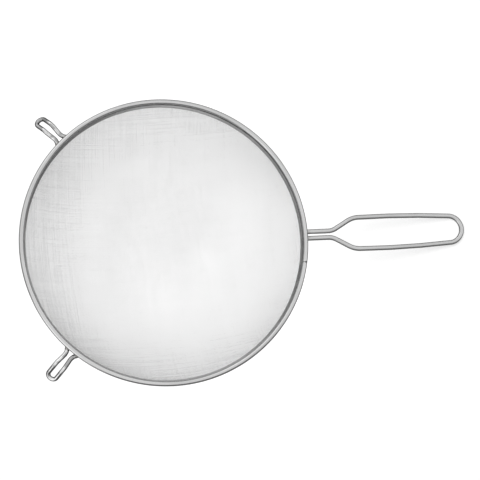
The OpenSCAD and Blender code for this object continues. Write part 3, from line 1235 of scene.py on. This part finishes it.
@dataclass
class Handle:
    """The handle: one wire whose two ends are welded side by side under the rim."""

    sizes: HandleSizes
    rim: RimSizes
    pose: RestingPose
    sides: int = 32
    arc_step: float = 2.0

    @property
    def neck_y(self) -> float:
        """Distance of each neck wire's middle from the handle's own middle."""
        return (self.sizes.neck_gap + self.sizes.wire_d) / 2

    def path(self) -> np.ndarray:
        """Middle line of the whole wire, from the right weld round the end to the left weld.

        The left half is a straight neck, the flare, the shoulder, the slight bow of the grip and
        a quarter of the round end; the right half is its mirror image.

        Returns:
            Points of the level frame, all at the handle's level.
        """
        s = self.sizes
        level = self.pose.handle_level
        end_x = self.pose.handle_end_x
        end_r = (s.end_w - s.wire_d) / 2
        grip_y = (s.grip_w - s.wire_d) / 2
        flare = math.radians(s.flare_angle)
        bow_end = math.acos((s.bow_r - grip_y) / (s.bow_r - end_r))
        lead = math.asin(s.bow_lead / s.bow_r)
        peak_x = end_x - end_r - (s.bow_r - end_r) * math.sin(bow_end)
        shoulder_y = grip_y - s.bow_r * (1 - math.cos(lead))
        rise = shoulder_y - self.neck_y - s.flare_r * (1 - math.cos(flare))
        rise -= s.shoulder_r * (math.cos(lead) - math.cos(flare))
        flare_l = rise / math.sin(flare)
        neck_end = peak_x - s.bow_lead - s.flare_r * math.sin(flare) - flare_l * math.cos(flare)
        neck_end -= s.shoulder_r * (math.sin(flare) - math.sin(lead))
        root_x = float(self.rim.flange_r(level)) - self.rim.strip_t / 2
        bends = [
            Bend(0, neck_end - root_x, s.flare_r, s.flare_angle),
            Bend(0, flare_l, s.shoulder_r, math.degrees(lead) - s.flare_angle),
            Bend(0, 0, s.bow_r, -math.degrees(lead + bow_end)),
            Bend(0, 0, end_r, math.degrees(bow_end) - 90),
        ]
        root = np.array([root_x, self.neck_y, level])
        return with_mirror_image(bent_wire(root, 0.0, bends, self.arc_step))

    def surface(self) -> Surface:
        """The wire as a tube, with both its ends fitted to the rim's outer leg.

        At an end, each point of the ring lies at the leg's radius at its own level and width.

        Returns:
            The closed tube.
        """
        wire = tube(self.path(), self.sizes.wire_d / 2, self.sides)
        for end in (0, -1):
            ring = wire.points[end]
            face = self.rim.flange_r(ring[:, 2]) - self.rim.strip_t / 2
            ring[:, 0] = np.sqrt(face**2 - ring[:, 1] ** 2)
        return wire

    def build(self, steel: bpy.types.Material) -> None:
        """Makes the handle and dresses it."""
        dress(self.surface().build("handle_wire", self.pose), steel, "handle_wire", "handle_loop")


@dataclass
class Hook:
    """A rest hook: a short wire loop whose tip is bent down to catch a pot's edge."""

    sizes: HookSizes
    rim: RimSizes
    welds: WeldSizes
    pose: RestingPose
    side: Side
    sides: int = 28
    arc_step: float = 5.0

    @property
    def level(self) -> float:
        """Level of the hook's legs under the bead."""
        return -(self.rim.bead_r + self.sizes.wire_d / 2 - self.welds.sink)

    @property
    def turn(self) -> np.ndarray:
        """Rotation from the hook's own direction to its place round the rim."""
        return turn_about(UP, math.radians(self.side.value * self.sizes.angle))

    def _root(self) -> tuple[float, float, float]:
        """Start of a leg and its straight length, from the sizes of tip, drop and spread.

        Returns:
            The root's distance from the rim's axis, its distance from the hook's middle, and
            the length of the leg between the root's bend and the bend that ends the splay.
        """
        s = self.sizes
        drop, spread, root = (math.radians(v) for v in (s.drop_angle, s.spread, s.root_angle))
        tip_x = self.rim.outer_d / 2 + s.reach - s.wire_d / 2
        drop_x = tip_x - (s.tip_r + s.tip_l) * math.cos(drop) - s.drop_r * math.sin(drop)
        root_x = float(self.rim.flange_r(-self.rim.clamp_depth)) - self.rim.strip_t
        leg = drop_x - root_x - s.root_l * math.cos(root)
        leg -= s.root_r * (math.sin(root) + math.sin(spread)) + s.spread_r * math.sin(spread)
        leg /= math.cos(spread)
        root_y = s.tip_r + s.root_l * math.sin(root) - s.root_r * (math.cos(root) - math.cos(spread))
        root_y -= leg * math.sin(spread) + s.spread_r * (1 - math.cos(spread))
        return root_x, root_y, leg

    def path(self) -> np.ndarray:
        """Middle line of the whole wire in the hook's own direction, from one weld to the other.

        The left half is a splayed root, a leg, the drop and half of the round tip; the right half
        is its mirror image.

        Returns:
            Points of the level frame, before the turn to the hook's place round the rim.
        """
        s = self.sizes
        root_x, root_y, leg = self._root()
        bends = [
            Bend(0, s.root_l, s.root_r, s.root_angle + s.spread),
            Bend(0, leg, s.spread_r, -s.spread),
            Bend(-90, 0, s.drop_r, s.drop_angle),
            Bend(90, s.tip_l, s.tip_r, -90),
        ]
        root = np.array([root_x, root_y, self.level])
        return with_mirror_image(bent_wire(root, -s.root_angle, bends, self.arc_step))

    def surface(self) -> Surface:
        """The wire as a tube, cut off at the rim's outer leg and turned to its place.

        A point nearer to the axis than the middle of the leg's thickness is moved straight out
        to it.

        Returns:
            The closed tube.
        """
        wire = tube(self.path(), self.sizes.wire_d / 2, self.sides)
        face = self.rim.flange_r(wire.points[..., 2]) - self.rim.strip_t / 2
        radius = np.hypot(wire.points[..., 0], wire.points[..., 1])
        short = np.minimum(radius / face, 1.0)
        wire.points[..., :2] /= short[..., None]
        wire.points = wire.points @ self.turn.T
        return wire

    def build(self, steel: bpy.types.Material) -> None:
        """Makes the hook and dresses it.

        Args:
            steel: The hook's wire.
        """
        side = self.side.name.lower()
        piece = self.surface().build(f"pot_hook_{side}", self.pose)
        dress(piece, steel, "hook_wire", f"rest_hook_{side}")


@dataclass
class Welds:
    """The beads of weld metal round the wires' ends.

    A bead starts a little inside the leg, where it is buried. Its lumps are a share of its height
    over the wire's skin, and lumps_at_rim is the part of them that is left at the rim. The
    ripples' seeds are counted from handle_seed and hook_seed.
    """

    sizes: WeldSizes
    rim: RimSizes
    handle: Handle
    hooks: list[Hook]
    pose: RestingPose
    rings: int = 14
    sides: int = 36
    buried: float = 0.3
    skin: float = 0.05
    lumps: float = 0.16
    lumps_at_rim: float = 0.4
    lump_waves: float = 9.0
    lump_cosines: int = 5
    handle_seed: int = 20
    hook_seed: int = 40

    def bead(self, root: np.ndarray, ahead: np.ndarray, wire_d: float, seed: int) -> Surface:
        """One bead: a collar that thins out along the wire, with a lumpy surface.

        Its radius is the wire's plus the bead's height. The height over the toe's falls off as
        the square of what is left of the bead's length, and a ripple round the collar varies it.

        Args:
            root: Where the wire's middle meets the rim's outer leg.
            ahead: Direction of the wire there.
            wire_d: Diameter of the wire.
            seed: Seed of the ripple.

        Returns:
            The collar, closed at both its ends.
        """
        share = np.linspace(0, 1, self.rings)[:, None]
        path = root + (share * (self.sizes.length + self.buried) - self.buried) * ahead
        height = self.sizes.toe + (self.sizes.height - self.sizes.toe) * (1 - share) ** 2
        collar = tube(path, wire_d / 2 + height, self.sides)
        turn = np.linspace(0, 2 * math.pi, self.sides, endpoint=False)
        uneven = Ripple(self.lump_waves, self.lump_cosines, seed).at(turn + 0 * share)
        growth = self.lumps_at_rim + (1 - self.lumps_at_rim) * share
        lumps = (1 + self.lumps * uneven * growth)[..., None]
        spoke = collar.points - path[:, None]
        reach = np.linalg.norm(spoke, axis=-1, keepdims=True)
        wire = wire_d / 2
        lumpy = wire - self.skin + (reach - wire + self.skin) * lumps
        collar.points = path[:, None] + spoke / reach * lumpy
        return collar

    @staticmethod
    def _join(parts: list[Surface]) -> Surface:
        """Several surfaces as one.

        Args:
            parts: The surfaces.

        Returns:
            All their points, with the faces renumbered.
        """
        points = [part.points.reshape(-1, 3) for part in parts]
        starts = np.cumsum([0] + [len(own) for own in points[:-1]])
        faces = [f + start for part, start in zip(parts, starts) for f in part.faces]
        along = np.concatenate([part.along.reshape(-1, 3) for part in parts])
        return Surface(np.concatenate(points), along, faces)

    def roots(self, hook: Hook) -> tuple[np.ndarray, np.ndarray]:
        """Where a hook's left leg leaves the rim's outer leg.

        Args:
            hook: The hook.

        Returns:
            The first point of its middle line outside the rim, and the direction there.
        """
        path = hook.path()[::-1]
        outside = np.hypot(path[:, 0], path[:, 1]) > self.rim.flange_r(path[:, 2])
        first = int(np.argmax(outside))
        return path[first], unit(path[first + 1] - path[first - 1])

    def _handle_beads(self) -> list[Surface]:
        """The beads of the handle's two wires.

        Returns:
            The right wire's bead and the left one's.
        """
        level, wire_d = self.pose.handle_level, self.handle.sizes.wire_d
        root = np.array([float(self.rim.flange_r(level)), self.handle.neck_y, level])
        flips = ((side, np.array([1.0, side, 1.0])) for side in (-1, 1))
        return [self.bead(root * flip, AHEAD, wire_d, self.handle_seed + side) for side, flip in flips]

    def _hook_beads(self) -> list[Surface]:
        """The beads of both hooks.

        Each hook's left bead is worked out in the hook's own direction, mirrored for the right
        one, and both are turned to the hook's place.

        Returns:
            Two beads for each hook.
        """
        beads = []
        for number, hook in enumerate(self.hooks):
            root, ahead = self.roots(hook)
            for side in (-1, 1):
                flip = np.array([1.0, side, 1.0])
                seed = self.hook_seed + 2 * number + side
                bead = self.bead(root * flip, ahead * flip, hook.sizes.wire_d, seed)
                bead.points = bead.points @ hook.turn.T
                beads.append(bead)
        return beads

    def build(self, steel: bpy.types.Material) -> None:
        """Makes the handle's beads and the hooks' beads and dresses them.

        Args:
            steel: The weld metal.
        """
        for end, beads in (("handle", self._handle_beads()), ("hook", self._hook_beads())):
            piece = self._join(beads).build(f"{end}_weld_beads", self.pose)
            dress(piece, steel, "weld_metal", f"{end}_welds")

    def spots(self) -> list[np.ndarray]:
        """Places of the weld seams.

        Returns:
            The handle's, then the hooks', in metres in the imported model's frame.
        """
        level = self.pose.handle_level
        found = [np.array([float(self.rim.flange_r(level)), 0.0, level])]
        for hook in self.hooks:
            found.append(hook.turn @ np.array([float(self.rim.flange_r(hook.level)), 0.0, hook.level]))
        return [self.pose.place(spot) for spot in found]


@dataclass(frozen=True)
class Softbox:
    """A square area lamp. Sizes and places are in metres."""

    name: str
    place: Place
    size: float
    power: float

    def build(self, target: Place) -> None:
        """Adds the lamp, which mirrored rays don't see.

        Args:
            target: Where it faces.
        """
        lamp = bpy.data.lights.new(self.name, "AREA")
        lamp.shape = "SQUARE"
        lamp.size = self.size
        lamp.energy = self.power
        holder = linked_object(self.name, lamp)
        holder.location = self.place
        holder.visible_glossy = False
        holder.rotation_euler = (Vector(target) - Vector(self.place)).to_track_quat("-Z", "Y").to_euler()
        LOG.info("lamp %s", self.name)


@dataclass(frozen=True)
class Panel:
    """A bright panel of the surroundings that only mirrored rays see.

    The direction points from the sieve to the panel. The span holds the cosines of the angles
    at which the panel's soft edge ends outside and begins inside.
    """

    direction: Place
    span: Pair
    strength: float

    def shade(self, tree: Tree, direction: object) -> bpy.types.NodeSocket:
        """The panel's glow in a direction.

        Args:
            tree: The world's nodes.
            direction: The direction.

        Returns:
            Its strength in the panel, and zero beside it.
        """
        inputs = {0: direction, 1: tuple(Vector(self.direction).normalized())}
        near = tree.add("VectorMath", inputs, operation="DOT_PRODUCT").outputs["Value"]
        return tree.ramp(near, self.span, 0.0, self.strength)


@dataclass(frozen=True)
class Spot:
    """A round patch of the floor with its own glow inside and outside.

    The glow changes over the span of distances from the place, in metres.
    """

    place: Place
    span: Pair
    inside: float
    outside: float

    def shade(self, tree: Tree, where: object) -> bpy.types.NodeSocket:
        """The glow at a place of the floor."""
        return tree.ramp(tree.distance(where, self.place), self.span, self.inside, self.outside)


@dataclass
class Studio:
    """Floor, surroundings, lamps and camera. Sizes and places are in metres.

    The floor's glow for the camera is painted_light_pool, a painted pool of light under the bowl, and the
    one for mirrored rays is the product of painted_reflection_spots, a painted bright patch under the bowl
    and a painted dark patch near its middle that only reflections show. Mirrored rays also see the floor in
    the darker mirrored_color, a painted dark reflection. The surroundings for mirrored rays go from
    horizon_front to horizon_back with the direction's Y, and over to overhead with its Z.
    """

    camera_place: Place = (0.14165, -0.17014, 1.16163)
    camera_target: Place = (-0.01743, 0.00851, 0.0)
    camera_up: Place = (0.08905, 0.98621, 0.13947)
    lens: float = 92.32
    sensor_width: float = 36.0
    view_end: float = 50.0
    floor_size: float = 8.0
    floor_color: float = 0.45
    mirrored_color: float = 0.1
    # Painted pool of light: the floor glows brighter for the camera under the bowl than round it.
    painted_light_pool: Spot = Spot((-0.058, -0.01, 0.0), (0.1, 0.172), 0.895, 0.66)
    # Painted reflection: a bright patch under the bowl times a dark patch near its middle, seen by mirrored
    # rays only.
    painted_reflection_spots: tuple[Spot, Spot] = (
        Spot((-0.07, 0.0, 0.0), (0.1, 0.14), 1.2, 0.2),
        Spot((-0.085, 0.042, 0.0), (0.032, 0.066), 0.02, 1.0),
    )
    room_light: float = 0.25
    overhead: float = 1.3
    overhead_span: Pair = (0.15, 0.85)
    horizon_front: float = 0.08
    horizon_back: float = 0.95
    horizon_span: Pair = (-0.5, 0.9)
    panels: tuple[Panel, ...] = (
        Panel((-0.2, 0.75, 0.6), (0.9, 0.97), 2.0),
        Panel((-0.6, -0.55, 0.6), (0.93, 0.975), 2.0),
        Panel((0.7, 0.7, 0.25), (0.8, 0.95), 1.2),
        Panel((0.9, 0.1, 0.35), (0.8, 0.93), 1.4),
        Panel((-0.7, -0.6, 0.3), (0.85, 0.95), 1.0),
    )
    lamps: tuple[Softbox, ...] = (Softbox("overhead_softbox", (-0.3, 0.21, 1.7), 1.0, 23.0),)
    lamps_target: Place = (0.0, 0.0, 0.05)

    def floor(self) -> None:
        """Pale floor that shows white to the camera and keeps the sieve's shadow.

        Its glow holds painted light: a painted pool of light under the bowl for the camera, and for
        mirrored rays a painted bright patch under the bowl, a painted dark patch near its middle and a
        darker colour.
        """
        half = self.floor_size / 2
        corner = [(-half, -half, 0), (half, -half, 0), (half, half, 0), (-half, half, 0)]
        mesh = bpy.data.meshes.new("floor")
        mesh.from_pydata(corner, [], [(0, 1, 2, 3)])
        made, tree, surface = new_material("pale_floor", 0.0)
        tree.feed(surface["Roughness"], 1.0)
        tree.feed(surface["Specular IOR Level"], 0.0)
        tree.feed(surface["Emission Color"], (1.0, 1.0, 1.0, 1.0))
        path = tree.add("LightPath").outputs
        # Painted dark reflection: mirrored rays see the floor in a darker colour than the camera does.
        darker = self.mirrored_color - self.floor_color
        color = tree.math("MULTIPLY_ADD", path["Is Glossy Ray"], darker, self.floor_color)
        tree.feed(surface["Base Color"], color)
        where = tree.where()
        # Painted pool of light: the camera sees a stronger glow under the bowl.
        seen = tree.math("MULTIPLY", path["Is Camera Ray"], self.painted_light_pool.shade(tree, where))
        # Painted light and shade seen in reflections only: a bright patch under the bowl and a dark patch
        # near its middle.
        bowl, painted_dark_patch = (spot.shade(tree, where) for spot in self.painted_reflection_spots)
        mirrored = tree.math("MULTIPLY", path["Is Glossy Ray"], tree.math("MULTIPLY", bowl, painted_dark_patch))
        tree.feed(surface["Emission Strength"], tree.math("ADD", seen, mirrored))
        mesh.materials.append(made)
        linked_object("floor", mesh)

    def _mirrored(self, tree: Tree) -> bpy.types.NodeSocket:
        """What mirrored rays see: white overhead, darker toward the front, with the panels.

        The horizon runs from its front to its back shade with the direction's Y; the shade goes
        over to the overhead one with the direction's Z.

        Args:
            tree: The world's nodes.

        Returns:
            The strength of the light from a direction.
        """
        direction = tree.add("TexCoord").outputs["Generated"]
        part = tree.parts(direction)
        horizon = tree.ramp(part[1], self.horizon_span, self.horizon_front, self.horizon_back)
        height = tree.ramp(part[2], self.overhead_span)
        rest = tree.math("SUBTRACT", 1.0, height)
        shade = tree.math("MULTIPLY_ADD", horizon, rest, tree.math("MULTIPLY", height, self.overhead))
        for panel in self.panels:
            shade = tree.math("MAXIMUM", shade, panel.shade(tree, direction))
        return shade

    def world(self) -> None:
        """White surroundings for the camera, soft room light, and what the metal mirrors."""
        made = bpy.data.worlds.new("studio")
        bpy.context.scene.world = made
        made.use_nodes = True
        made.node_tree.nodes.clear()
        tree = Tree(made.node_tree)
        path = tree.add("LightPath").outputs
        seen = tree.math("MAXIMUM", path["Is Camera Ray"], path["Is Transmission Ray"])
        mirrored = tree.math("MULTIPLY", path["Is Glossy Ray"], self._mirrored(tree))
        other = tree.math("SUBTRACT", 1.0, tree.math("MAXIMUM", seen, path["Is Glossy Ray"]))
        room = tree.math("MULTIPLY", other, self.room_light)
        bright = tree.math("ADD", tree.math("ADD", seen, mirrored), room)
        background = tree.add("Background", {"Color": (1.0, 1.0, 1.0, 1.0), "Strength": bright})
        end = tree.add("OutputWorld")
        tree.feed(end.inputs["Surface"], background.outputs[0])

    def camera(self) -> None:
        """Camera at the photograph's viewing angle."""
        data = bpy.data.cameras.new("camera")
        data.lens = self.lens
        data.sensor_width = self.sensor_width
        data.clip_end = self.view_end
        back = (Vector(self.camera_place) - Vector(self.camera_target)).normalized()
        right = Vector(self.camera_up).cross(back).normalized()
        up = back.cross(right)
        holder = linked_object("camera", data)
        turn = Matrix((right, up, back)).transposed().to_4x4()
        holder.matrix_world = Matrix.Translation(self.camera_place) @ turn
        bpy.context.scene.camera = holder

    def build(self) -> None:
        """Builds everything round the sieve."""
        self.camera()
        self.floor()
        self.world()
        for lamp in self.lamps:
            lamp.build(self.lamps_target)
        bpy.context.scene.view_settings.view_transform = "Standard"


@dataclass(frozen=True)
class Finishes:
    """The finish of each kind of piece.

    The weld spots are the handle's and then the hooks'; the seams are the places of the butt
    seam along the ring.
    """

    weld_spots: tuple[Place, ...]
    seams: tuple[float, ...]

    @property
    def strip(self) -> StripFinish:
        """The rolled strip."""
        steel = ("rolled_strip_steel", (0.52, 0.52, 0.52), 0.2)
        return StripFinish(*steel, line_length=30.0, welds=self.weld_spots, tint_reach=6.0, seams=self.seams)

    @property
    def core(self) -> SteelFinish:
        """The hidden core wire."""
        return SteelFinish("hidden_core_wire", (0.5, 0.5, 0.5), 0.35)

    @property
    def grip(self) -> SteelFinish:
        """The handle's satin wire, tinted at its own weld."""
        return SteelFinish("satin_handle_wire", (0.52, 0.52, 0.52), 0.28, welds=self.weld_spots[:1])

    @property
    def hook(self) -> PolishedFinish:
        """The hooks' polished wire with painted reflections, tinted at their own welds."""
        steel = ("polished_hook_wire", (0.56, 0.56, 0.56), 0.1)
        return PolishedFinish(*steel, line_depth=0.0015, welds=self.weld_spots[1:])

    @property
    def weld(self) -> SteelFinish:
        """The dull, rough weld metal."""
        steel = ("weld_metal", (0.33, 0.32, 0.31), 0.42)
        return SteelFinish(*steel, line_length=1.2, line_width=0.6, line_depth=0.08)


def main() -> None:
    """Loads the frame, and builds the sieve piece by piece."""
    logging.basicConfig(level=logging.INFO)
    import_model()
    rim, handle_sizes, hook_sizes, weld_sizes = RimSizes(), HandleSizes(), HookSizes(), WeldSizes()
    pose = RestingPose(rim, handle_sizes, weld_sizes)
    handle = Handle(handle_sizes, rim, pose)
    hooks = [Hook(hook_sizes, rim, weld_sizes, pose, side) for side in Side]
    welds = Welds(weld_sizes, rim, handle, hooks, pose)
    spots = tuple(tuple(float(v) for v in spot) for spot in welds.spots())
    seams = tuple(rim.ring_r * (math.radians(rim.seam_angle) + turn) for turn in (0.0, 2 * math.pi))
    finishes = Finishes(spots, seams)
    effects = Effects()
    Rim(rim, pose).build(finishes.strip.material(effects), finishes.core.material(effects))
    WireCloth(rim, pose).build(ClothFinish().material())
    handle.build(finishes.grip.material(effects))
    hook_steel = finishes.hook.material(effects)
    for hook in hooks:
        hook.build(hook_steel)
    welds.build(finishes.weld.material(effects))
    Studio().build()


if __name__ == "__main__":
    main()
